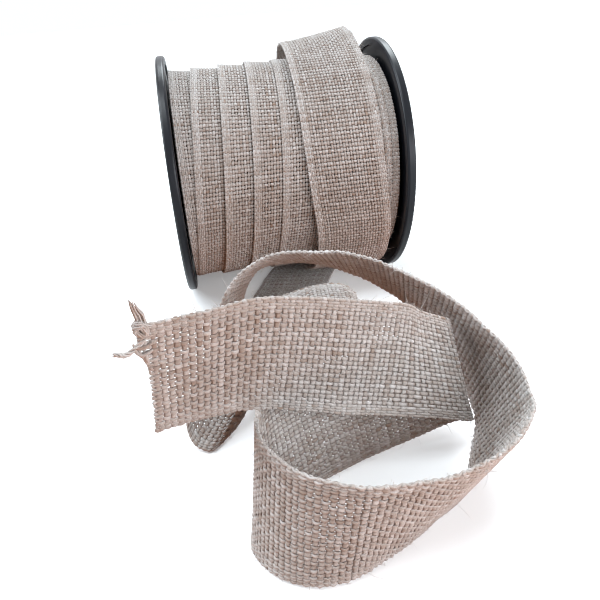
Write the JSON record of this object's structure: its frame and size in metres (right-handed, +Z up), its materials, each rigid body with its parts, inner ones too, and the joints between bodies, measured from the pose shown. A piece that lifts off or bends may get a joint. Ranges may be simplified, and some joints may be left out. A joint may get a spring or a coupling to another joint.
{
  "type": "ribbon spool",
  "caption": "Spool of open-weave linen-look ribbon lying on its side, its last turn loose over the winding and its free end looped in front and ending in a knotted cut edge.",
  "frame": {"origin": "middle of the bore, halfway between the two flanges; the table lies 41.5 mm below it", "axes": "+X along the bore towards the right flange, +Z up, and the front, where the free end lies, faces -Y"},
  "size_m": [0.0874, 0.1943, 0.0869],
  "materials": {
    "flange": "glossy, near-black, with a raised rounded rim",
    "core": "plain kraft board",
    "tape": "satin paper tape",
    "ribbon": "open plain weave of slubby linen yarn with dense selvedges",
    "knot": "tied and frayed linen threads"
  },
  "bodies": {
    "ribbon": {"loose_turn": "ribbon", "loose_turn_back": "ribbon", "tail_under_spool": "ribbon", "tail_fold": "ribbon", "tail_hump": "ribbon", "tail_lead_in": "ribbon", "tail_rise": "ribbon", "tail_arch": "ribbon", "tail_right_wall": "ribbon", "tail_front_wall": "ribbon", "tail_left_turn": "ribbon", "tail_back_wall": "ribbon", "free_end": "ribbon", "end_knot": "knot"},
    "spool": {"flange_left": "flange", "flange_right": "flange", "core_tube": "core", "start_tape": "tape", "winding_inner": "ribbon", "winding_outer": "ribbon"}
  },
  "joints": [
    {"name": "spool_turn", "type": "hinge", "parent": "ribbon", "child": "spool", "pos_m": [0, 0, 0], "axis": [1, 0, 0], "continuous": true}
  ]
}
